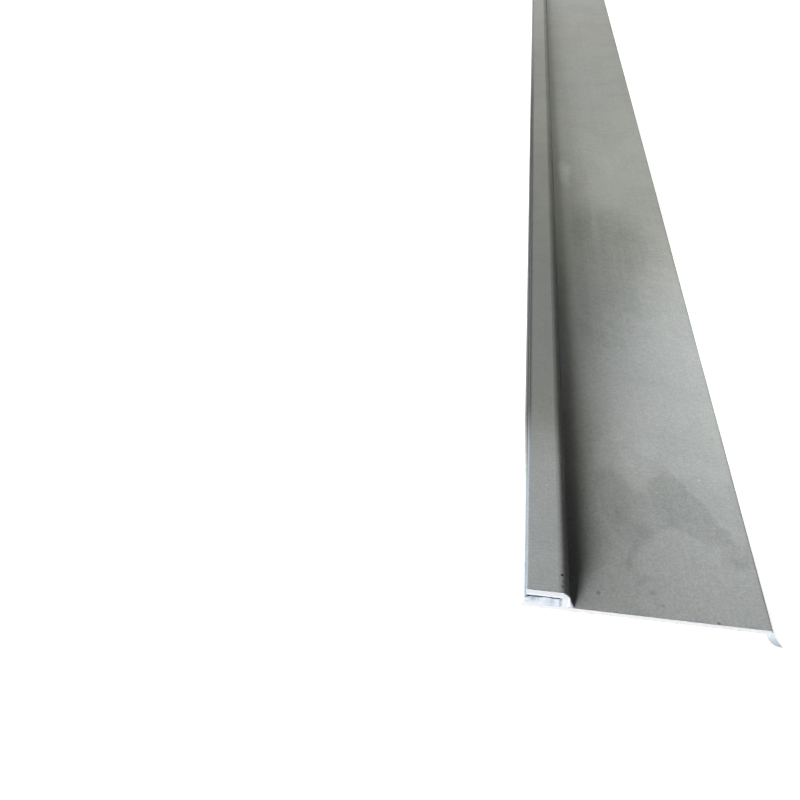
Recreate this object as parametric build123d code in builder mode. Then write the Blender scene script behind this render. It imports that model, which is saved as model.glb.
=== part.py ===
from build123d import *
import os

# Pool liner rail, one extrusion of hard PVC, in millimetres. Its flat plate is fixed
# to the pool wall, and a channel along one edge of the plate holds the liner's bead.
# X runs across the rail, with the mouth of the channel at -X. Y runs along the rail.
# Z is up from the back of the plate. The origin is the centre of that back face.

# Stock length and plate
rail_length = 2000
plate_width = 80
plate_thickness = 1.8

# Bead channel: a web stands on the plate, and a flange turns back over the plate's edge
channel_gap = 5.4
channel_depth = 12.6
web_thickness = 2.2
flange_thickness = 2.0
flange_setback = 0.7

# Lip on the plate's edge, which narrows the mouth and keeps the bead in
lip_height = 1.1
lip_width = 2.0

# Rounding of the section's corners
flange_corner_radius = 3.0
channel_corner_radius = 0.5
plate_root_radius = 0.5
lip_root_radius = 0.3
flange_tip_radius = 0.5
back_edge_radius = 0.5

# Places across the section
mouth_x = -plate_width / 2
free_edge_x = plate_width / 2
free_round = plate_thickness / 2
web_inner_x = mouth_x + channel_depth
web_outer_x = web_inner_x + web_thickness
flange_tip_x = mouth_x + flange_setback
lip_inner_x = mouth_x + lip_width

# Heights above the plate's back
lip_top_z = plate_thickness + lip_height
flange_under_z = plate_thickness + channel_gap
flange_top_z = flange_under_z + flange_thickness

# The lip is round over its top, as far as its width and height let it be
lip_top_radius = 0.95 * min(lip_width / 2, lip_height - lip_root_radius)

# Corners of the section, in order from the back of the plate's mouth edge
back_edge = (mouth_x, 0)
free_round_start = (free_edge_x - free_round, 0)
free_round_middle = (free_edge_x, free_round)
free_round_end = (free_edge_x - free_round, plate_thickness)
plate_root = (web_outer_x, plate_thickness)
flange_corner = (web_outer_x, flange_top_z)
flange_tip_top = (flange_tip_x, flange_top_z)
flange_tip_under = (flange_tip_x, flange_under_z)
channel_top = (web_inner_x, flange_under_z)
channel_foot = (web_inner_x, plate_thickness)
lip_root = (lip_inner_x, plate_thickness)
lip_inner_top = (lip_inner_x, lip_top_z)
lip_outer_top = (mouth_x, lip_top_z)

with BuildPart() as liner_rail:
    with BuildSketch(Plane.XZ) as section:
        with BuildLine():
            Line(back_edge, free_round_start)
            ThreePointArc(free_round_start, free_round_middle, free_round_end)
            Polyline(
                free_round_end,
                plate_root,
                flange_corner,
                flange_tip_top,
                flange_tip_under,
                channel_top,
                channel_foot,
                lip_root,
                lip_inner_top,
                lip_outer_top,
                back_edge,
            )
        make_face()

        def corners(*points):
            return [section.vertices().sort_by_distance(p)[0] for p in points]

        fillet(corners(flange_corner), flange_corner_radius)
        fillet(corners(channel_top, channel_foot), channel_corner_radius)
        fillet(corners(plate_root), plate_root_radius)
        fillet(corners(lip_root), lip_root_radius)
        fillet(corners(lip_inner_top, lip_outer_top), lip_top_radius)
        fillet(corners(flange_tip_top, flange_tip_under), flange_tip_radius)
        fillet(corners(back_edge), back_edge_radius)
    extrude(amount=rail_length / 2, both=True)

liner_rail.part.label = "liner_rail"

os.makedirs("parts", exist_ok=True)
export_step(liner_rail.part, "parts/liner_rail.step")
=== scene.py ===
import math

import bmesh
import bpy
from mathutils import Matrix, Vector, noise


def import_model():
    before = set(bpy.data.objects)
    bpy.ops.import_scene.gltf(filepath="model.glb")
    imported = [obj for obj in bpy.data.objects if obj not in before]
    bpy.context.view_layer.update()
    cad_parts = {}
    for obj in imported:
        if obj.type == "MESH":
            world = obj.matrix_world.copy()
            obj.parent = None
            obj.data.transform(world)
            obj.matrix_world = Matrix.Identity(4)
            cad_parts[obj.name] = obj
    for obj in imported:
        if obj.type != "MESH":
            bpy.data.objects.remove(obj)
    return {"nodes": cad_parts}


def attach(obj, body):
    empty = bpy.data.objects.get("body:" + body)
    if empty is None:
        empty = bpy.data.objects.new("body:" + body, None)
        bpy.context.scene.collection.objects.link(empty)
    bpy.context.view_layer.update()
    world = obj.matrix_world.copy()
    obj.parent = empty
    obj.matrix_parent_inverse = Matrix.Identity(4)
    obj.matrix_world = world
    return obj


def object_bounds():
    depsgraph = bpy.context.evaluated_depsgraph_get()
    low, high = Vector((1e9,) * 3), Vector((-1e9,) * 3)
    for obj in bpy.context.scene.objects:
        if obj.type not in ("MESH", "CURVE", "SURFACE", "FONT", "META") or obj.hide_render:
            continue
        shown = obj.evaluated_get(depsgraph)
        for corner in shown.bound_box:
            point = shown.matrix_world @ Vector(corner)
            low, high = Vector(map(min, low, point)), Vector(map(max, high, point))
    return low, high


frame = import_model()
cadLow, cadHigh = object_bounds()
scene = bpy.context.scene
scene.view_settings.view_transform = "Standard"
mm = 0.001
white = (1, 1, 1, 1)
railNode = frame["nodes"]["liner_rail"]
nearEnd = cadLow.y
farEnd = cadHigh.y
mouthX = cadLow.x
print("frame loaded, rail", [round(v / mm, 1) for v in (cadHigh - cadLow)], "mm")

# sizes of the section that the loose pieces are fitted to, from the plate's mouth edge and its back
section = {
    "plate": 1.8 * mm,
    "webOuter": 14.8 * mm,
    "flangeUnder": 7.2 * mm,
    "flangeTop": 9.2 * mm,
    "cornerRadius": 3.0 * mm,
}

# the camera stands in front of the sawn end and looks along the rail
cameraPlace = {
    "at": (-60.96 * mm, -1156.98 * mm, 217.37 * mm),
    "tiltDown": 40.10,
    "heading": 7.34,
    "roll": 0.51,
    "lens": 34.95,
    "sensor": 36.0,
    "clip": (0.01, 60),
}


def makeCamera(place):
    data = bpy.data.cameras.new("photoCamera")
    data.lens = place["lens"]
    data.sensor_width = place["sensor"]
    data.clip_start, data.clip_end = place["clip"]
    camera = bpy.data.objects.new("photoCamera", data)
    scene.collection.objects.link(camera)
    turn = (
        Matrix.Rotation(math.radians(place["heading"]), 4, "Z")
        @ Matrix.Rotation(math.radians(90 - place["tiltDown"]), 4, "X")
        @ Matrix.Rotation(math.radians(place["roll"]), 4, "Z")
    )
    camera.matrix_world = Matrix.Translation(place["at"]) @ turn
    scene.camera = camera


makeCamera(cameraPlace)

# lamps that stand off from the web's foot at the near end; azimuth is counted from the
# near end's front towards the channel's side
standingLamps = {
    "lowWindow": {
        "power": 50.5, "away": 1.40, "azimuth": 26.2, "elevation": 12.2,
        "width": 0.62, "depth": 0.27, "tint": (0.93, 0.92, 1.0),
    },
    "softWall": {
        "power": 32.8, "away": 1.60, "azimuth": 55, "elevation": 22,
        "width": 1.50, "tint": (0.935, 1.0, 0.84),
    },
}
# the smaller lamps have a place and a point that they are aimed at
aimedLamps = {
    "hungLamp": {
        "power": 2.43, "place": (-0.10, 0.10, 0.60), "aim": (-0.10, 0.10, 0.0),
        "width": 0.70, "spread": 110, "tint": (1.0, 1.0, 0.96),
    },
    "edgeGlow": {
        "power": 2.0, "place": (-0.45, -0.92, 0.10), "aim": (0.0, -0.97, 0.0),
        "width": 0.12, "spread": 180, "tint": (0.84, 0.87, 1.0),
    },
    "frontPool": {
        "power": 0.058, "place": (0.20, -0.862, 0.55), "aim": (0.060, -0.862, 0.0),
        "width": 0.25, "depth": 0.04, "spread": 16, "tint": (1.0, 0.99, 1.0),
    },
    "farEndLamp": {
        "power": 2.5, "place": (-0.10, 1.30, 0.55), "aim": (-0.08, 0.95, 0.0),
        "width": 0.60, "spread": 68, "tint": (1.0, 1.0, 0.96),
    },
    "farSide": {
        "power": 0.0675, "place": (0.30, -0.60, 0.45), "aim": (-0.02, -0.64, 0.0),
        "width": 0.25, "spread": 40, "tint": (0.955, 1.0, 0.84),
    },
    "farGleam": {
        "power": 0.08, "place": (0.35, -0.35, 0.30), "aim": (0.0, -0.45, 0.0),
        "width": 0.25, "spread": 50, "tint": (1.0, 1.0, 0.92),
    },
}


def makeLamp(name, lamp, place, aim):
    data = bpy.data.lights.new(name, "AREA")
    data.shape = "ELLIPSE"
    data.size = lamp["width"]
    data.size_y = lamp.get("depth", lamp["width"])
    data.energy = lamp["power"]
    data.color = lamp["tint"]
    data.spread = math.radians(lamp.get("spread", 180))
    holder = bpy.data.objects.new(name, data)
    scene.collection.objects.link(holder)
    turn = (place - aim).to_track_quat("Z", "Y").to_matrix().to_4x4()
    holder.matrix_world = Matrix.Translation(place) @ turn


def lampSide(lamp):
    side = math.radians(lamp["azimuth"])
    rise = math.radians(lamp["elevation"])
    level = math.cos(rise)
    return Vector((-math.sin(side) * level, -math.cos(side) * level, math.sin(rise)))


webFoot = Vector((mouthX + section["webOuter"], nearEnd, section["plate"]))
for lampName, lamp in standingLamps.items():
    makeLamp(lampName, lamp, webFoot + lampSide(lamp) * lamp["away"], webFoot)
for lampName, lamp in aimedLamps.items():
    makeLamp(lampName, lamp, Vector(lamp["place"]), Vector(lamp["aim"]))


def feed(tree, socket, value):
    # another node's output is linked, and a plain value is set
    if isinstance(value, bpy.types.NodeSocket):
        tree.links.new(value, socket)
    else:
        socket.default_value = value


def addNode(tree, kind, inputs=None, **options):
    # inputs are given by their names or numbers, and None leaves an input as it is
    node = tree.nodes.new(kind)
    for key, value in options.items():
        setattr(node, key, value)
    for key, value in (inputs or {}).items():
        if value is not None:
            feed(tree, node.inputs[key], value)
    return node


def mathNode(tree, operation, a, b=None, c=None, clamp=False):
    inputs = {0: a, 1: b, 2: c}
    return addNode(tree, "ShaderNodeMath", inputs, operation=operation, use_clamp=clamp).outputs[0]


def vectorNode(tree, operation, a, b=None, scale=None):
    inputs = {0: a, 1: b, 3: scale}
    return addNode(tree, "ShaderNodeVectorMath", inputs, operation=operation).outputs[0]


def noiseNode(tree, point, dimensions="3D", **inputs):
    inputs["Vector"] = point
    return addNode(tree, "ShaderNodeTexNoise", inputs, noise_dimensions=dimensions)


def splitPoint(tree, point):
    return addNode(tree, "ShaderNodeSeparateXYZ", {0: point}).outputs


def fade(tree, value, low, high, start=0.0, end=1.0, curve="SMOOTHSTEP"):
    # from start at low to end at high, where high may be the smaller of the two
    inputs = {"Value": value, "From Min": low, "From Max": high, "To Min": start, "To Max": end}
    return addNode(tree, "ShaderNodeMapRange", inputs, interpolation_type=curve).outputs[0]


def product(tree, result, *factors):
    for factor in factors:
        result = mathNode(tree, "MULTIPLY", result, factor)
    return result


def weighted(tree, *pairs):
    # the sum of some values, each times its weight
    total = 0.0
    for value, weight in pairs:
        total = mathNode(tree, "MULTIPLY_ADD", value, weight, total)
    return total


def vary(tree, base, pattern, amount):
    # a noise's swing about its middle, added to the base
    swing = mathNode(tree, "SUBTRACT", pattern, 0.5)
    return mathNode(tree, "MULTIPLY_ADD", swing, amount, base)


def distance(tree, *sides):
    total = 0.0
    for side in sides:
        total = mathNode(tree, "MULTIPLY_ADD", side, side, total)
    return mathNode(tree, "SQRT", total)


def mixColor(tree, amount, a, b, blend="MIX"):
    inputs = {0: amount, 6: a, 7: b}
    node = addNode(tree, "ShaderNodeMix", inputs, data_type="RGBA", blend_type=blend)
    return node.outputs[2]


def seenDirectly(tree):
    # 1 for the rays that show the background, 0 for the rays that light the object
    path = addNode(tree, "ShaderNodeLightPath").outputs
    seen = mathNode(tree, "MAXIMUM", path["Is Camera Ray"], path["Is Glossy Ray"])
    return mathNode(tree, "MAXIMUM", seen, path["Is Transmission Ray"])


skySettings = {"fill": 0.03, "seen": 1.0, "tint": (1.0, 1.0, 0.98, 1.0)}


def makeSky(sky):
    world = bpy.data.worlds.new("paleRoom")
    world.use_nodes = True
    tree = world.node_tree
    tree.nodes.clear()
    light = addNode(tree, "ShaderNodeBackground", {"Color": sky["tint"], "Strength": sky["fill"]})
    backdrop = addNode(tree, "ShaderNodeBackground", {"Color": white, "Strength": sky["seen"]})
    shaders = {0: seenDirectly(tree), 1: light.outputs[0], 2: backdrop.outputs[0]}
    mixed = addNode(tree, "ShaderNodeMixShader", shaders)
    addNode(tree, "ShaderNodeOutputWorld", {"Surface": mixed.outputs[0]})
    scene.world = world


makeSky(skySettings)


def newMaterial(name):
    material = bpy.data.materials.new(name)
    material.use_nodes = True
    material.node_tree.nodes.clear()
    return material, material.node_tree


floorSettings = {
    "size": 14.0,
    "drop": 0.05 * mm,
    "tone": 0.50,
    "lift": 0.86,
    "whiteFrom": 0.10,
    "whiteAt": 0.35,
}


def makeFloor(settings):
    half = settings["size"] / 2
    level = -settings["drop"]
    sides = ((-half, -half), (half, -half), (half, half), (-half, half))
    mesh = bpy.data.meshes.new("paleFloor")
    mesh.from_pydata([(x, y, level) for x, y in sides], [], [(0, 1, 2, 3)])
    material, tree = newMaterial("paleFloor")
    tone = settings["tone"]
    matte = addNode(tree, "ShaderNodeBsdfDiffuse", {"Color": (tone, tone, tone, 1)})
    # away from the rail the floor is plain white, and near it the rail's shadow shows
    place = addNode(tree, "ShaderNodeTexCoord").outputs["Object"]
    across, along, _ = splitPoint(tree, place)
    pastEnd = mathNode(tree, "SUBTRACT", mathNode(tree, "ABSOLUTE", along), farEnd)
    away = distance(tree, across, mathNode(tree, "MAXIMUM", pastEnd, 0.0))
    lift = fade(tree, away, settings["whiteFrom"], settings["whiteAt"], settings["lift"], 1.0)
    strength = product(tree, seenDirectly(tree), lift)
    glow = addNode(tree, "ShaderNodeEmission", {"Color": white, "Strength": strength})
    lit = addNode(tree, "ShaderNodeAddShader", {0: matte.outputs[0], 1: glow.outputs[0]})
    # from below the floor is clear, so that the rail's back can be looked at
    clear = addNode(tree, "ShaderNodeBsdfTransparent")
    back = addNode(tree, "ShaderNodeNewGeometry").outputs["Backfacing"]
    mixed = addNode(tree, "ShaderNodeMixShader", {0: back, 1: lit.outputs[0], 2: clear.outputs[0]})
    addNode(tree, "ShaderNodeOutputMaterial", {"Surface": mixed.outputs[0]})
    mesh.materials.append(material)
    floor = bpy.data.objects.new("paleFloor", mesh)
    scene.collection.objects.link(floor)


makeFloor(floorSettings)
print("camera, lamps and floor made")


def newGroup(kind, name, inputs, outputs):
    # inputs are names with types and perhaps a default, and outputs are names with types
    tree = bpy.data.node_groups.new(name, kind)
    for side, sockets in (("INPUT", inputs), ("OUTPUT", outputs)):
        for title, value, *default in sockets:
            valueType = "NodeSocket" + value
            socket = tree.interface.new_socket(name=title, in_out=side, socket_type=valueType)
            if default:
                socket.default_value = default[0]
    start = tree.nodes.new("NodeGroupInput")
    end = tree.nodes.new("NodeGroupOutput")
    return tree, start.outputs, end.inputs


def useGroup(tree, group, point, **inputs):
    inputs["Point"] = point
    return addNode(tree, "ShaderNodeGroup", inputs, node_tree=group).outputs


def makePatchGroup():
    # soft patches and their harder-edged watermarks; Size is in metres
    tree, start, end = newGroup(
        "ShaderNodeTree", "filmPatches",
        [
            ("Point", "Vector"), ("Size", "Float", 0.05), ("Warp", "Float", 0.6),
            ("Edge", "Float", 0.08), ("Turn", "Float", 0.0),
        ],
        [("Soft", "Float"), ("Patch", "Float")],
    )
    rate = mathNode(tree, "DIVIDE", 1.0, start["Size"])
    cloud = noiseNode(
        tree, vectorNode(tree, "SCALE", start["Point"], scale=rate), "4D", Scale=1.0, Detail=4.0,
        Roughness=0.55, W=start["Turn"], Distortion=start["Warp"],
    ).outputs[0]
    level = 0.52  # a little less than half of the surface is patched
    low = mathNode(tree, "SUBTRACT", level, start["Edge"])
    high = mathNode(tree, "ADD", level, start["Edge"])
    feed(tree, end["Soft"], cloud)
    feed(tree, end["Patch"], fade(tree, cloud, low, high))
    return tree


def makeOvalGroup():
    # one soft oval mark at a place on the surface: a rub or stain, or painted light or shade
    tree, start, end = newGroup(
        "ShaderNodeTree", "ovalMark",
        [
            ("Point", "Vector"), ("Place", "Vector"), ("Width", "Float", 0.01),
            ("Length", "Float", 0.03), ("Angle", "Float", 0.0), ("Bend", "Float", 0.0),
            ("Ragged", "Float", 0.5), ("Soft", "Float", 0.5),
        ],
        [("Mask", "Float")],
    )
    off = vectorNode(tree, "SUBTRACT", start["Point"], start["Place"])
    turned = {"Vector": off, "Angle": start["Angle"]}
    turn = addNode(tree, "ShaderNodeVectorRotate", turned, rotation_type="Z_AXIS").outputs[0]
    height = 2.0 * mm  # a mark reaches this far above and below its place
    sides = zip(splitPoint(tree, turn), (start["Width"], start["Length"], height))
    reach = distance(tree, *[mathNode(tree, "DIVIDE", side, size) for side, size in sides])
    frayed = mathNode(tree, "MULTIPLY_ADD", start["Bend"], start["Ragged"], reach)
    outer = mathNode(tree, "ADD", 1.0, start["Soft"])
    inner = mathNode(tree, "SUBTRACT", 1.0, start["Soft"])
    feed(tree, end["Mask"], fade(tree, frayed, outer, inner))
    return tree


def makeSawGroup():
    # arcs that a round blade leaves on a cut face
    tree, start, end = newGroup(
        "ShaderNodeTree", "sawArcs",
        [("Point", "Vector"), ("Hub", "Vector", (0.05, 0.0, 0.16)), ("Pitch", "Float", 0.0005)],
        [("Arcs", "Float"), ("Fuzz", "Float")],
    )
    off = vectorNode(tree, "SUBTRACT", start["Point"], start["Hub"])
    across, _, up = splitPoint(tree, off)
    turns = mathNode(tree, "DIVIDE", distance(tree, across, up), start["Pitch"])
    feed(tree, end["Arcs"], noiseNode(tree, None, "1D", Scale=1.0, Detail=3.0, W=turns).outputs[0])
    fuzz = noiseNode(tree, start["Point"], Scale=3200.0, Detail=4.0)
    feed(tree, end["Fuzz"], fuzz.outputs[0])
    return tree


filmPatches = makePatchGroup()
ovalMark = makeOvalGroup()
sawArcs = makeSawGroup()

greyPvc = {
    "grey": (0.300, 0.304, 0.298, 1),
    "patchTone": (0.90, 0.905, 0.90, 1),
    "warmTone": (1.03, 1.02, 0.97, 1),
    "coolTone": (0.975, 0.985, 1.0, 1),
    "sawnTone": (0.274, 0.281, 0.290, 1),
    "paleSawn": (0.310, 0.309, 0.306, 1),
    "lipPaintedHighlight": (1.44, 1.54, 1.66, 1),
    "channelFilmAndShade": (0.79, 0.785, 0.755, 1),
    "tipPaintedShade": (0.57, 0.62, 0.69, 1),
    "specular": 0.12,
    "roughness": 0.62,
    "bump": 0.35,
    "relief": 0.06 * mm,
    # films of dust and handling, and how much the broad and the dried one show
    "broadFilm": {"Size": 0.075, "Warp": 0.5, "Edge": 0.10, "Turn": 2.3},
    "driedFilm": {"Size": 0.028, "Warp": 1.1, "Edge": 0.035, "Turn": 7.9},
    "farFilm": {"Size": 0.30, "Warp": 0.2, "Edge": 0.16, "Turn": 4.1},
    "broadShare": 0.75,
    "driedShare": 0.32,
    # fine patterns, and how much each one changes the grey
    "drawnStretch": (900, 2.2, 900),
    "drawnNoise": {"Scale": 1.0, "Detail": 3.0},
    "grainNoise": {"Scale": 1300.0, "Detail": 5.0, "Roughness": 0.75},
    "mottleNoise": {"Scale": 420.0, "Detail": 1.0},
    "drawn": 0.10,
    "grain": 0.98,
    "mottle": 0.13,
    "cloud": 0.25,
    "shadeStreakStretch": (170, 5, 170),
    "shadeStreakNoise": {"Scale": 1.0, "Detail": 2.0},
    "shadeStreaking": 0.45,
    # the outlines of the marks wander by a few mm and are ragged
    "wanderNoise": {"Scale": 75.0, "Detail": 2.0},
    "wander": (5.0 * mm, 5.0 * mm, 0),
    "frayNoise": {"Scale": 300.0, "Detail": 3.0},
    "stainRagged": 0.25,
    "domeRagged": 0.20,
    "markRagged": 0.6,
    "speckRagged": 0.8,
    "speckSoft": 0.5,
    # shades of the places that are listed below
    "deepPaintedShade": 0.85,
    "filmShadeThinned": 0.3,
    "footPaintedShade": 0.80,
    "steepPaintedShade": 0.50,
    "bendPaintedShade": 0.80,
    "bendFarPaintedShade": 0.80,
    "edgePaintedShade": 0.34,
    # pairs in mm from where a mask is 0 to where it is 1: across from the mouth's edge,
    # along from the near end, and up from the back
    "poolShadeAcross": (18.5, 27.5),
    "filmShadeUp": (2.2, 6.2),
    "filmShadeAlong": (56, 90),
    "thinAlong": (540, 720),
    "deepStarts": (70, 110),
    "deepEnds": (450, 320),
    "footAcross": (21.5, 16.0),
    "footUp": (3.4, 2.2),
    "footAlong": (240, 400),
    "steepAcross": (13.7, 14.5),
    "steepUp": (4.8, 6.8),
    "bendAcross": (10.7, 11.4),
    "lipHighlightAlong": (75, 47),
    "tipAcross": (1.35, 0.75),
    "edgeShadeAcross": (2.4, 0.9),
    "edgeShadeStarts": (64, 98),
    "edgeShadeEnds": (640, 420),
    "paleUp": (7.0, 5.2),
    # single places, in mm in the same way
    "footFrom": 14.0,
    "bendAbove": 6.0,
    "lipWithin": 1.9,
    "lipAbove": 0.3,
    "lipBelow": 3.2,
    "tipAbove": 6.9,
    # the cut face, how far the tear runs on from it, and how the blade's arcs show
    "sawnReach": 0.012 * mm,
    "tornReach": 1.05 * mm,
    "tornPower": 3.0,
    "tornShare": 0.6,
    "arcs": 0.30,
    "fuzz": 0.25,
    "roughFilm": 0.25,
    "roughSawn": 0.25,
    # weights of the patterns in the relief
    "skinGrain": 0.35,
    "skinDrawn": 0.25,
    "cutArcs": 1.2,
    "cutFuzz": 0.8,
}

# marks are placed from the plate's mouth edge and from the near end, in mm, and lie on the plate
# unless their height is given; light is below 0 for a dark mark
driedStains = [
    {"at": (35.6, 48.5), "size": (7.3, 20.0), "angle": -0.24, "soft": 0.14, "light": -0.105},
    {
        "at": (45.2, 45.3), "size": (22, 42), "angle": -0.61, "soft": 0.035, "light": -0.130,
        "within": {"at": (66.9, 54.0), "size": (21, 21), "soft": 0.07},
    },
    {"at": (45.5, 47.0), "size": (8.5, 10), "angle": -0.3, "soft": 0.32, "light": -0.095},
    {"at": (74.5, 29.0), "size": (4.5, 6), "soft": 0.40, "light": -0.100},
]
# painted shade: the plate is darker over a broad stretch, up to a straight edge across it
poolEdgeShade = [
    {
        "at": (20.0, 300.0), "size": (50.0, 163.0), "soft": 0.24, "light": -0.26,
        "within": {"at": (30.0, 168.0), "size": (57.0, 122.0), "soft": 0.18},
    },
    {"at": (29.0, 290.0), "size": (8.0, 42.0), "soft": 0.25, "light": -0.08},
]
clearedDome = {"at": (54.0, 20.5), "size": (13.5, 19), "soft": 0.06, "light": 0.012}
# rubs and tone marks, with some painted light among them, said where they stand
marksAndPaintedLight = [
    {"at": (42.8, 36.3), "size": (2.8, 3.6), "angle": -0.7, "soft": 0.55, "light": -0.110},
    {"at": (38.4, 26.0), "size": (1.1, 5.5), "angle": 0.35, "soft": 0.60, "light": -0.105},
    {"at": (36.8, 20.0), "size": (1.7, 2.4), "soft": 0.60, "light": -0.090},
    {"at": (40.5, 14.5), "size": (1.2, 3.4), "angle": 0.85, "soft": 0.60, "light": -0.110},
    {"at": (57.5, 66.0), "size": (0.8, 8.0), "angle": -0.60, "soft": 0.70, "light": -0.050},
    {"at": (48.0, 43.8), "size": (3.2, 2.2), "angle": 0.5, "soft": 0.60, "light": 0.045},
    {"at": (36.5, 43.0), "size": (2.8, 4.8), "angle": 0.5, "soft": 0.60, "light": -0.050},
    {"at": (73.5, 25.5), "size": (3.6, 2.4), "soft": 0.55, "light": -0.055},
    {"at": (41.0, 67.0), "size": (3.6, 11.0), "angle": -0.30, "soft": 0.40, "light": 0.050},
    {"at": (30.5, 75.5), "size": (4.4, 7.2), "soft": 0.40, "light": 0.045},
    {"at": (48.2, 80.5), "size": (4.0, 4.6), "soft": 0.50, "light": 0.070},
    {"at": (36.8, 87.5), "size": (4.2, 2.8), "soft": 0.50, "light": 0.055},
    {"at": (59.5, 73.0), "size": (5.0, 5.5), "soft": 0.55, "light": 0.035},
    {"at": (29.0, 89.0), "size": (3.4, 4.4), "soft": 0.60, "light": -0.045},
    {"at": (45.5, 83.0), "size": (6.5, 3.6), "angle": 0.1, "soft": 0.60, "light": 0.030},
    {"at": (50.0, 125.5), "size": (12.0, 1.7), "angle": 0.12, "soft": 0.75, "light": -0.040},
    {"at": (24.0, 127.0), "size": (6.0, 4.0), "soft": 0.80, "light": 0.045},
    {"at": (22.6, 345.0), "size": (3.4, 17.0), "soft": 0.60, "light": 0.33},
    # painted light: these two strips lift the shade beside the web
    {"at": (22.4, 400.0), "size": (3.2, 110.0), "soft": 0.85, "light": 0.15},
    {"at": (22.8, 228.0), "size": (4.2, 62.0), "soft": 0.75, "light": 0.18},
    {"at": (42.0, 84.0), "size": (11.0, 24.0), "soft": 0.80, "light": 0.065},
    {"at": (38.5, 270.0), "size": (1.8, 14.0), "soft": 0.80, "light": 0.060},
    {"at": (46.0, 354.0), "size": (10.0, 64.0), "angle": -0.06, "soft": 0.20, "light": 0.050},
    # painted light: a broad pool on the plate's far side
    {"at": (73.0, 365.0), "size": (20.0, 95.0), "soft": 0.65, "light": 0.120},
    # painted light: these two lift the shade beside the web nearer the end
    {"at": (29.0, 56.0), "size": (4.5, 15.0), "soft": 0.60, "light": 0.075},
    {"at": (23.0, 155.0), "size": (4.5, 55.0), "soft": 0.80, "light": 0.120},
    {"at": (57.5, 262.0), "size": (6.0, 7.0), "soft": 0.80, "light": -0.050},
    {"at": (6.5, 45.0), "up": 9.2, "size": (7.0, 18.0), "soft": 0.85, "light": 0.035},
    {"at": (6.5, 4.5), "up": 9.2, "size": (6.0, 4.0), "soft": 0.80, "light": -0.040},
]
specks = [
    {"at": (12.2, 7.2), "up": 8.9, "size": 0.55, "light": -0.85},
    {"at": (12.3, 2.6), "up": 8.9, "size": 0.60, "light": -0.45},
    {"at": (12.6, 4.6), "up": 8.8, "size": 0.45, "light": -0.35},
    {"at": (25.2, 7.4), "size": 0.70, "light": -0.45},
    {"at": (43.5, 9.6), "size": 1.00, "light": -0.22},
    {"at": (46.0, 5.0), "size": 0.80, "light": -0.14},
    {"at": (7.5, 47.5), "up": 9.2, "size": 0.45, "light": 0.24},
    {"at": (66.5, 65.5), "size": 0.60, "light": 0.30},
    {"at": (49.8, 56.5), "size": 0.45, "light": 0.24},
    {"at": (68.4, 41.8), "size": 0.50, "light": 0.24},
    {"at": (63.7, 93.5), "size": 0.50, "light": 0.22},
    {"at": (63.0, 0.5), "size": 0.60, "light": -0.45},
    {"at": (30.5, 0.4), "size": 0.35, "light": -0.40},
]


def newFinish(name):
    material, tree = newMaterial(name)
    shader = addNode(tree, "ShaderNodeBsdfPrincipled")
    addNode(tree, "ShaderNodeOutputMaterial", {"Surface": shader.outputs[0]})
    return material, tree, shader, addNode(tree, "ShaderNodeTexCoord").outputs["Object"]


def dressShader(tree, shader, look, color, roughness, height):
    relief = {"Strength": look["bump"], "Distance": look["relief"], "Height": height}
    bump = addNode(tree, "ShaderNodeBump", relief)
    feed(tree, shader.inputs["Base Color"], color)
    feed(tree, shader.inputs["Roughness"], roughness)
    feed(tree, shader.inputs["Specular IOR Level"], look["specular"])
    feed(tree, shader.inputs["Normal"], bump.outputs[0])


def markMask(tree, mark, point, ragged=0.0, fray=None):
    # 1 inside a mark and 0 outside it; a mark can be kept within another one
    across, along = mark["at"]
    up = mark["up"] * mm if "up" in mark else section["plate"]
    width, length = mark["size"]
    mask = useGroup(
        tree, ovalMark, point, Place=(mouthX + across * mm, nearEnd + along * mm, up),
        Width=width * mm, Length=length * mm, Angle=mark.get("angle", 0.0), Soft=mark["soft"],
        Ragged=ragged, Bend=fray,
    )[0]
    if "within" in mark:
        limit = markMask(tree, mark["within"], point, ragged, fray)
        mask = mathNode(tree, "MINIMUM", mask, limit)
    return mask


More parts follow.
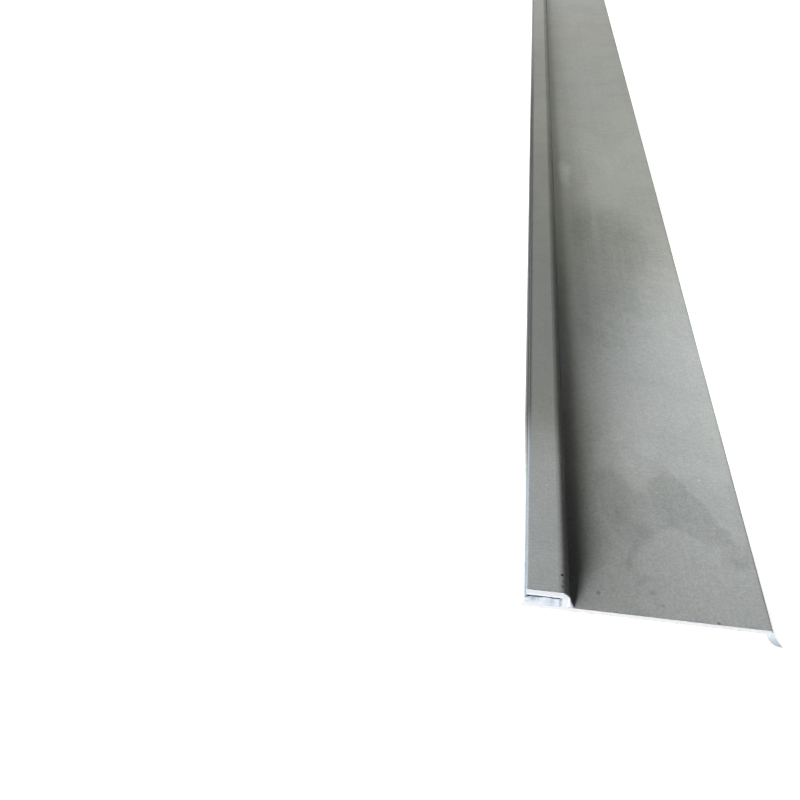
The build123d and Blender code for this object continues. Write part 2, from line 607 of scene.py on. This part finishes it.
def makeGreyPvc(look):
    material, tree, shader, point = newFinish("greyPvc")
    across, along, up = splitPoint(tree, point)
    axes = {"Across": (across, mouthX), "Along": (along, nearEnd), "Up": (up, 0.0)}

    def ramp(axis, name):
        value, start = axes[axis]
        low, high = look[name]
        return fade(tree, value, start + low * mm, start + high * mm)

    def past(axis, name):
        value, start = axes[axis]
        return mathNode(tree, "GREATER_THAN", value, start + look[name] * mm)

    def before(axis, name):
        value, start = axes[axis]
        return mathNode(tree, "LESS_THAN", value, start + look[name] * mm)

    def tint(tone, mask, name):
        return mixColor(tree, mask, tone, look[name], "MULTIPLY")

    def darken(shade, mask, name):
        factor = mathNode(tree, "MULTIPLY_ADD", mask, look[name] - 1, 1.0)
        return product(tree, shade, factor)

    def lighten(shade, mask, light):
        return mathNode(tree, "MULTIPLY_ADD", mask, light, shade)

    def stretched(name):
        scale = {"Vector": point, "Scale": look[name]}
        return addNode(tree, "ShaderNodeMapping", scale).outputs[0]

    # broad film of dust and handling, and the harder-edged patches that dried on it
    broad = useGroup(tree, filmPatches, point, **look["broadFilm"])
    dried = useGroup(tree, filmPatches, point, **look["driedFilm"])
    warm = useGroup(tree, filmPatches, point, **look["farFilm"])["Patch"]
    tone = tint(look["grey"], product(tree, broad["Patch"], look["broadShare"]), "patchTone")
    tone = tint(tone, product(tree, dried["Patch"], look["driedShare"]), "patchTone")
    tone = tint(tone, warm, "warmTone")
    tone = tint(tone, mathNode(tree, "SUBTRACT", 1.0, warm), "coolTone")
    # faint lines that the die drew along the rail, then grain and mottling
    lines = noiseNode(tree, stretched("drawnStretch"), **look["drawnNoise"]).outputs[0]
    grain = noiseNode(tree, point, **look["grainNoise"]).outputs[0]
    mottle = noiseNode(tree, point, **look["mottleNoise"]).outputs[0]
    shade = vary(tree, 1.0, lines, look["drawn"])
    shade = vary(tree, shade, grain, look["grain"])
    shade = vary(tree, shade, mottle, look["mottle"])
    shade = vary(tree, shade, broad["Soft"], look["cloud"])
    # the outlines of the marks wander a little, as dried water does
    shift = noiseNode(tree, point, **look["wanderNoise"]).outputs["Color"]
    shift = vectorNode(tree, "SUBTRACT", shift, (0.5, 0.5, 0.5))
    moved = vectorNode(tree, "ADD", point, vectorNode(tree, "MULTIPLY", shift, look["wander"]))
    fray = noiseNode(tree, point, **look["frayNoise"]).outputs[0]
    fray = mathNode(tree, "SUBTRACT", fray, 0.5)
    stain = 0.0
    for mark in driedStains:
        mask = markMask(tree, mark, moved, look["stainRagged"], fray)
        stain = mathNode(tree, "MINIMUM", stain, product(tree, mask, mark["light"]))
    # painted shade over a broad stretch of the plate, streaky along the rail
    shadeStreakPattern = noiseNode(tree, stretched("shadeStreakStretch"), **look["shadeStreakNoise"]).outputs[0]
    shadeStreaking = vary(tree, 1.0, shadeStreakPattern, look["shadeStreaking"])
    for mark in poolEdgeShade:
        mask = markMask(tree, mark, moved, look["stainRagged"], fray)
        mask = product(tree, mask, ramp("Across", "poolShadeAcross"), shadeStreaking)
        shade = lighten(shade, mask, mark["light"])
    # the stains stop short of a cleared dome
    dome = markMask(tree, clearedDome, moved, look["domeRagged"], fray)
    shade = lighten(shade, stain, mathNode(tree, "SUBTRACT", 1.0, dome))
    shade = lighten(shade, dome, clearedDome["light"])
    # rubs and tone marks, and painted light where the list says so
    for mark in marksAndPaintedLight:
        shade = lighten(shade, markMask(tree, mark, moved, look["markRagged"], fray), mark["light"])
    for speck in specks:
        spot = dict(speck, size=(speck["size"], speck["size"]), soft=look["speckSoft"])
        mask = markMask(tree, spot, point, look["speckRagged"], fray)
        shade = lighten(shade, mask, speck["light"])
    # dust film and painted shade: the channel's outside is darker than the plate from a hand's
    # breadth in, and the deeper stretch further on is painted shade
    filmAndShade = product(tree, ramp("Up", "filmShadeUp"), ramp("Along", "filmShadeAlong"))
    thinned = darken(filmAndShade, ramp("Along", "thinAlong"), "filmShadeThinned")
    tone = tint(tone, thinned, "channelFilmAndShade")
    deep = product(tree, ramp("Along", "deepStarts"), ramp("Along", "deepEnds"))
    shade = darken(shade, product(tree, filmAndShade, deep), "deepPaintedShade")
    # painted shade along the foot of the web, from partway along the rail
    foot = product(
        tree, ramp("Across", "footAcross"), past("Across", "footFrom"), ramp("Up", "footUp"),
        ramp("Along", "footAlong"),
    )
    shade = darken(shade, foot, "footPaintedShade")
    # painted shade along the steep side of the rounded corner
    steep = product(tree, ramp("Across", "steepAcross"), ramp("Up", "steepUp"))
    shade = darken(shade, steep, "steepPaintedShade")
    # painted shade: the flange's bend is darker than its top, and darker again further along the
    # rail
    bent = product(tree, ramp("Across", "bendAcross"), past("Up", "bendAbove"))
    shade = darken(shade, bent, "bendPaintedShade")
    shade = darken(shade, product(tree, bent, ramp("Along", "filmShadeAlong")), "bendFarPaintedShade")
    # painted highlight: the lip's outer side is paler and bluer near the near end, and the flange's
    # edge is darker than its top
    lip = product(
        tree, before("Across", "lipWithin"), before("Up", "lipBelow"), past("Up", "lipAbove"),
        ramp("Along", "lipHighlightAlong"),
    )
    tone = tint(tone, lip, "lipPaintedHighlight")
    # painted shade: the flange's edge is darker than its top
    tip = product(tree, ramp("Across", "tipAcross"), past("Up", "tipAbove"))
    tone = tint(tone, tip, "tipPaintedShade")
    # painted shade: past the pale part, both edges of the channel's mouth are darkened
    edges = product(
        tree, ramp("Across", "edgeShadeAcross"), ramp("Along", "edgeShadeStarts"), ramp("Along", "edgeShadeEnds")
    )
    shade = darken(shade, edges, "edgePaintedShade")
    skinColor = vectorNode(tree, "SCALE", tone, scale=shade)
    # the sawn ends are whitened, and the tear runs a little way round their edges
    inward = mathNode(tree, "SUBTRACT", farEnd, mathNode(tree, "ABSOLUTE", along))
    saw = useGroup(tree, sawArcs, point)
    tear = mathNode(tree, "POWER", saw["Fuzz"], look["tornPower"])
    tear = mathNode(tree, "LESS_THAN", inward, product(tree, tear, look["tornReach"]))
    face = mathNode(tree, "LESS_THAN", inward, look["sawnReach"])
    sawn = mathNode(tree, "MAXIMUM", face, product(tree, tear, look["tornShare"]))
    cutShade = vary(tree, 1.0, saw["Arcs"], look["arcs"])
    cutShade = vary(tree, cutShade, saw["Fuzz"], look["fuzz"])
    # the cut is palest on the plate and the web
    cutTone = mixColor(tree, ramp("Up", "paleUp"), look["sawnTone"], look["paleSawn"])
    cutColor = vectorNode(tree, "SCALE", cutTone, scale=cutShade)
    rough = vary(tree, look["roughness"], dried["Soft"], look["roughFilm"])
    rough = mathNode(tree, "MULTIPLY_ADD", sawn, look["roughSawn"], rough, clamp=True)
    # relief: grain and drawn lines on the skin, blade arcs on the cut
    skin = weighted(tree, (grain, look["skinGrain"]), (lines, look["skinDrawn"]))
    cut = weighted(tree, (saw["Arcs"], look["cutArcs"]), (saw["Fuzz"], look["cutFuzz"]))
    height = weighted(tree, (skin, mathNode(tree, "SUBTRACT", 1.0, face)), (cut, face))
    color = mixColor(tree, sawn, skinColor, cutColor)
    dressShader(tree, shader, look, color, rough, height)
    return material


tornPvc = {
    "pale": (0.318, 0.345, 0.375, 1),
    "grey": (0.14, 0.155, 0.175, 1),
    "specular": 0.25,
    "roughness": 0.7,
    "roughFuzz": 0.3,
    "bump": 0.5,
    "relief": 0.05 * mm,
    "streaks": 0.14,
    "streakFilm": {"Size": 0.0016, "Warp": 1.0, "Edge": 0.12, "Turn": 1.7},
}
# greyer places on the torn plastic, placed as the marks on the rail are; the one beside the web is
# painted shade
tornStreaksAndShade = [
    {"at": (8.8, 0.4), "up": 2.3, "size": (2.6, 0.9), "soft": 0.60, "light": 0.35},
    # painted shade: the grey band beside the web's inner face
    {"at": (12.3, 1.0), "up": 3.0, "size": (0.60, 2.4), "soft": 0.45, "light": 0.65},
]


def makeTornPvc(look):
    # plastic that the blade stretched thin: pale, with greyer streaks and painted shade beside the
    # web
    material, tree, shader, point = newFinish("tornPvc")
    fuzz = useGroup(tree, sawArcs, point)["Fuzz"]
    streak = useGroup(tree, filmPatches, point, **look["streakFilm"])
    amount = product(tree, streak["Patch"], look["streaks"])
    for mark in tornStreaksAndShade:
        greyed = product(tree, markMask(tree, mark, point), mark["light"])
        amount = mathNode(tree, "MAXIMUM", amount, greyed)
    tone = mixColor(tree, amount, look["pale"], look["grey"])
    rough = vary(tree, look["roughness"], fuzz, look["roughFuzz"])
    dressShader(tree, shader, look, tone, rough, fuzz)
    return material


greyFinish = makeGreyPvc(greyPvc)
tornFinish = makeTornPvc(tornPvc)
for materialSlot in railNode.material_slots:
    materialSlot.material = greyFinish
print("finishes made")


outlineSettings = {"merge": 0.002 * mm, "onEnd": 0.01 * mm, "facing": 0.9}


def endOutline(y, name, settings):
    # the edges of one sawn end, taken from a merged copy of the rail's own mesh
    work = bmesh.new()
    work.from_mesh(railNode.data)
    bmesh.ops.remove_doubles(work, verts=work.verts, dist=settings["merge"])
    known = {}
    lines = []
    for edge in work.edges:
        if any(abs(vert.co.y - y) > settings["onEnd"] for vert in edge.verts):
            continue
        onFace = [abs(face.normal.y) > settings["facing"] for face in edge.link_faces]
        if len(onFace) == 2 and onFace[0] != onFace[1]:
            lines.append([known.setdefault(vert, len(known)) for vert in edge.verts])
    points = [tuple(vert.co) for vert in known]
    work.free()
    mesh = bpy.data.meshes.new(name)
    mesh.from_pydata(points, lines, [])
    return mesh


def keepAboveFloor(tree, shape, margin):
    # nothing of the burr may sink below the surface that the rail lies on
    parts = splitPoint(tree, addNode(tree, "GeometryNodeInputPosition").outputs[0])
    raised = {0: parts[0], 1: parts[1], 2: mathNode(tree, "MAXIMUM", parts[2], margin)}
    place = addNode(tree, "ShaderNodeCombineXYZ", raised).outputs[0]
    move = addNode(tree, "GeometryNodeSetPosition", {"Geometry": shape, "Position": place})
    return move.outputs[0]


fringeSettings = {
    "nearFringe": {
        "y": nearEnd, "Spacing": 0.35 * mm, "Thin": 0.03 * mm, "Thick": 0.16 * mm,
        "Ragged": 0.30 * mm, "Seed": 3.0,
    },
    "farFringe": {
        "y": farEnd, "Spacing": 0.45 * mm, "Thin": 0.04 * mm, "Thick": 0.20 * mm,
        "Ragged": 0.40 * mm, "Seed": 8.0,
    },
}
fringePattern = {
    "fine": 900.0,
    "broad": 260.0,
    "heavy": (0.48, 0.72),
    "sides": 6,
    "clear": 0.01 * mm,
}


def makeFringeTree(pattern):
    # a ragged bead of plastic along the sawn edges
    tree, start, end = newGroup(
        "GeometryNodeTree", "sawnFringe",
        [
            ("Geometry", "Geometry"), ("Spacing", "Float"), ("Thin", "Float"), ("Thick", "Float"),
            ("Ragged", "Float"), ("Seed", "Float"), ("Finish", "Material"),
        ],
        [("Geometry", "Geometry")],
    )
    curve = addNode(tree, "GeometryNodeMeshToCurve", {0: start["Geometry"]}).outputs[0]
    steps = {"Curve": curve, "Length": start["Spacing"]}
    even = addNode(tree, "GeometryNodeResampleCurve", steps, mode="LENGTH").outputs[0]
    place = addNode(tree, "GeometryNodeInputPosition").outputs[0]
    fine = noiseNode(tree, place, "4D", Scale=pattern["fine"], Detail=2.0, W=start["Seed"])
    swing = vectorNode(tree, "SUBTRACT", fine.outputs["Color"], (0.5, 0.5, 0.5))
    swing = vectorNode(tree, "SCALE", swing, scale=start["Ragged"])
    moved = addNode(tree, "GeometryNodeSetPosition", {"Geometry": even, "Offset": swing})
    broad = noiseNode(tree, place, "4D", Scale=pattern["broad"], Detail=3.0, W=start["Seed"])
    low, high = pattern["heavy"]
    heavy = fade(tree, broad.outputs[0], low, high, start["Thin"], start["Thick"], "LINEAR")
    thickness = {"Curve": moved.outputs[0], "Radius": heavy}
    sized = addNode(tree, "GeometryNodeSetCurveRadius", thickness).outputs[0]
    circle = {"Resolution": pattern["sides"], "Radius": 1.0}
    ring = addNode(tree, "GeometryNodeCurvePrimitiveCircle", circle).outputs[0]
    radius = addNode(tree, "GeometryNodeInputRadius").outputs[0]
    swept = {"Curve": sized, "Profile Curve": ring, "Scale": radius}
    bead = addNode(tree, "GeometryNodeCurveToMesh", swept).outputs[0]
    bead = keepAboveFloor(tree, bead, pattern["clear"])
    real = addNode(tree, "GeometryNodeRealizeInstances", {0: bead}).outputs[0]
    painted = {"Geometry": real, "Material": start["Finish"]}
    feed(tree, end["Geometry"], addNode(tree, "GeometryNodeSetMaterial", painted).outputs[0])
    return tree


def bakeTree(name, mesh, tree, values):
    # the tree's result as a plain mesh on an object of its own
    carrier = bpy.data.objects.new(name, mesh)
    scene.collection.objects.link(carrier)
    modifier = carrier.modifiers.new("shape", "NODES")
    modifier.node_group = tree
    for item in tree.interface.items_tree:
        if item.item_type == "SOCKET" and item.in_out == "INPUT" and item.name in values:
            modifier[item.identifier] = values[item.name]
    bpy.context.view_layer.update()
    evaluated = carrier.evaluated_get(bpy.context.evaluated_depsgraph_get())
    made = bpy.data.meshes.new_from_object(evaluated)
    carrier.modifiers.clear()
    carrier.data = made
    made.name = name
    for polygon in made.polygons:
        polygon.use_smooth = True
    return carrier


def settle(piece):
    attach(piece, "root")
    print(piece.name, len(piece.data.polygons), "faces")


fringeTree = makeFringeTree(fringePattern)
for fringeName, values in fringeSettings.items():
    outline = endOutline(values["y"], fringeName + "Line", outlineSettings)
    settle(bakeTree(fringeName, outline, fringeTree, dict(values, Finish=tornFinish)))


def thinSheet(name, rows, columns, placeAt, thickness):
    # a torn sheet through a grid of points, given its thickness, with a crisp rim
    work = bmesh.new()
    grid = []
    for r in range(rows + 1):
        places = [placeAt(r / rows, c / columns) for c in range(columns + 1)]
        grid.append([work.verts.new(place) for place in places])
    for a, b in zip(grid, grid[1:]):
        for i in range(columns):
            work.faces.new((a[i], a[i + 1], b[i + 1], b[i]))
    bmesh.ops.recalc_face_normals(work, faces=work.faces)
    work.normal_update()
    faces = list(work.faces)
    rim = [edge for edge in work.edges if edge.is_boundary]
    half = thickness / 2
    back = {}
    for vert in list(work.verts):
        back[vert] = work.verts.new(vert.co - vert.normal * half)
        vert.co += vert.normal * half
    for face in faces:
        work.faces.new([back[v] for v in reversed(face.verts)])
    for edge in rim:
        loop = edge.link_loops[0]
        a, b = loop.vert, loop.link_loop_next.vert
        work.faces.new((b, a, back[a], back[b]))
    work.normal_update()
    crisp = math.radians(50)
    for edge in work.edges:
        edge.smooth = len(edge.link_faces) == 2 and edge.calc_face_angle() < crisp
    for face in work.faces:
        face.smooth = True
    mesh = bpy.data.meshes.new(name)
    work.to_mesh(mesh)
    work.free()
    mesh.materials.append(tornFinish)
    piece = bpy.data.objects.new(name, mesh)
    scene.collection.objects.link(piece)
    return piece


def ripple(t, waves):
    # the sum of some waves of noise; a wave has its rate, its place in the noise and its share
    total = 0.0
    for rate, b, c, share in waves:
        total += noise.noise(Vector((t * rate, b, c))) * share
    return total


# on the torn sheets, "from" and "to" run across from the mouth's edge, "start" is how far in from
# the sawn end a sheet begins, and "sunk" keeps its root inside the rail
channelFlap = {
    "from": 0.45 * mm,
    "to": 12.5 * mm,
    "sunk": 0.1 * mm,
    "height": 1.55 * mm,
    "standing": 2.75 * mm,
    "ragged": 0.50 * mm,
    "tears": ((6.0, 0.3, 1.7, 1.0), (26.0, 2.3, 5.1, 0.22)),
    "start": 0.08 * mm,
    "lean": 1.75 * mm,
    "upright": 0.35 * mm,
    "curl": 1.6,
    "turn": 0.34,
    "wave": 0.14 * mm,
    "waveRates": (5.0, 2.5, 9.2),
    "columns": 80,
    "rows": 8,
    "wall": 0.14 * mm,
}


def makeChannelFlap(flap):
    # torn skin that the blade left standing across the foot of the channel
    def flapPoint(s, t):
        u = flap["from"] + (flap["to"] - flap["from"]) * t
        part = min(1.0, t / flap["turn"])
        bent = part * part * (3 - 2 * part)  # upright beside the lip, bent over further along
        tall = flap["standing"] + (flap["height"] - flap["standing"]) * bent
        tall += flap["ragged"] * ripple(t, flap["tears"])
        lean = flap["upright"] + (flap["lean"] - flap["upright"]) * bent
        alongRate, upRate, seed = flap["waveRates"]
        wave = noise.noise(Vector((t * alongRate, s * upRate, seed))) * flap["wave"]
        y = nearEnd + flap["start"] + lean * s ** flap["curl"] + wave * s
        return (mouthX + u, y, section["plate"] - flap["sunk"] + s * tall)

    return thinSheet("channelFlap", flap["rows"], flap["columns"], flapPoint, flap["wall"])


settle(makeChannelFlap(channelFlap))

webBurr = {
    "reach": 2.05 * mm,
    "curl": 1.9,
    "tears": ((8.0, 4.4, 0.6, 0.18),),
    "sunk": 0.12 * mm,
    "foot": 2.3 * mm,
    "hook": 0.45 * mm,
    "start": 0.06 * mm,
    "forward": 0.35 * mm,
    "sweep": 0.30 * mm,
    "turnFrom": 72,
    "turnSteps": 12,
    "downSteps": 14,
    "rows": 5,
    "wall": 0.28 * mm,
}


def makeWebBurr(burr):
    # plastic rolled over the outer side of the web as the blade came out
    radius = section["cornerRadius"]
    centreU = section["webOuter"] - radius
    centreZ = section["flangeTop"] - radius
    path = []
    for k in range(burr["turnSteps"] + 1):
        angle = math.radians(burr["turnFrom"] - burr["turnFrom"] * k / burr["turnSteps"])
        outU, outZ = math.cos(angle), math.sin(angle)
        path.append((centreU + radius * outU, centreZ + radius * outZ, outU, outZ))
    drop = centreZ - burr["foot"]
    for k in range(1, burr["downSteps"] + 1):
        path.append((section["webOuter"], centreZ - drop * k / burr["downSteps"], 1.0, 0.0))
    columns = len(path) - 1

    def burrPoint(s, t):
        u, z, outU, outZ = path[round(t * columns)]
        tear = 1.0 + ripple(t, burr["tears"])
        out = burr["reach"] * t ** burr["curl"] * tear * s - burr["sunk"]
        y = nearEnd + burr["start"] - burr["forward"] * math.sin(s * math.pi) + burr["sweep"] * s
        return (mouthX + u + outU * out, y, z + outZ * out - burr["hook"] * (s * t) ** 2)

    return thinSheet("webBurr", burr["rows"], columns, burrPoint, burr["wall"])


settle(makeWebBurr(webBurr))

flangeBurr = {
    "from": 0.9 * mm,
    "to": 12.5 * mm,
    "sunk": 0.12 * mm,
    "drop": 0.50 * mm,
    "start": 0.03 * mm,
    "forward": 0.24 * mm,
    "curl": 0.7,
    "ragged": 0.10 * mm,
    "tears": ((14.0, 7.1, 3.3, 1.0), (45.0, 1.9, 6.2, 0.4)),
    "columns": 70,
    "rows": 4,
    "wall": 0.14 * mm,
}


def makeFlangeBurr(burr):
    # the same tear along the flange's lower edge, hanging into the channel's opening
    def burrPoint(s, t):
        drop = burr["drop"] * s + burr["ragged"] * ripple(t, burr["tears"]) * s
        x = mouthX + burr["from"] + (burr["to"] - burr["from"]) * t
        y = nearEnd + burr["start"] - burr["forward"] * s ** burr["curl"]
        return (x, y, section["flangeUnder"] + burr["sunk"] - drop)

    return thinSheet("flangeBurr", burr["rows"], burr["columns"], burrPoint, burr["wall"])


settle(makeFlangeBurr(flangeBurr))

# the sliver's edges are placed as the marks on the rail are, with their heights
cornerSliver = {
    "left": [
        (77.8, 0.35, 0.70), (77.9, -0.97, 0.35), (78.2, -2.33, 0.25), (78.8, -3.46, 0.22),
        (79.8, -4.23, 0.22), (80.9, -4.61, 0.22), (82.2, -4.75, 0.25),
    ],
    "right": [
        (79.35, 0.1, 1.5), (80.0, -1.05, 1.15), (80.6, -2.17, 0.75), (81.15, -3.14, 0.45),
        (81.65, -4.01, 0.33), (81.95, -4.43, 0.27), (82.25, -4.74, 0.25),
    ],
    "steps": 24,
    "across": 6,
    "crown": 0.08 * mm,
    "crownLift": 0.4,
    "clear": 0.1 * mm,
    "wall": 0.09 * mm,
}


def smoothPath(points, t):
    # a point along a smooth path through the given ones
    last = len(points) - 1
    i = min(int(t * last), last - 1)
    f = t * last - i
    ends = (points[max(i - 1, 0)], points[i], points[i + 1], points[min(i + 2, last)])
    p0, p1, p2, p3 = [Vector(p) for p in ends]
    slope = (p2 - p0) * f
    square = (2 * p0 - 5 * p1 + 4 * p2 - p3) * f ** 2
    cube = (3 * p1 - p0 - 3 * p2 + p3) * f ** 3
    return 0.5 * ((2 * p1) + slope + square + cube)


def makeCornerSliver(sliver):
    # the curl of plastic that still hangs on the corner of the cut
    def sliverPoint(t, s):
        spot = smoothPath(sliver["left"], t).lerp(smoothPath(sliver["right"], t), s)
        crown = sliver["crown"] * math.sin(s * math.pi) * (1 - t)
        z = max(spot.z * mm + crown * sliver["crownLift"], sliver["clear"])
        return (mouthX + spot.x * mm, nearEnd + spot.y * mm - crown, z)

    return thinSheet("cornerSliver", sliver["steps"], sliver["across"], sliverPoint, sliver["wall"])


settle(makeCornerSliver(cornerSliver))
print("burrs made")
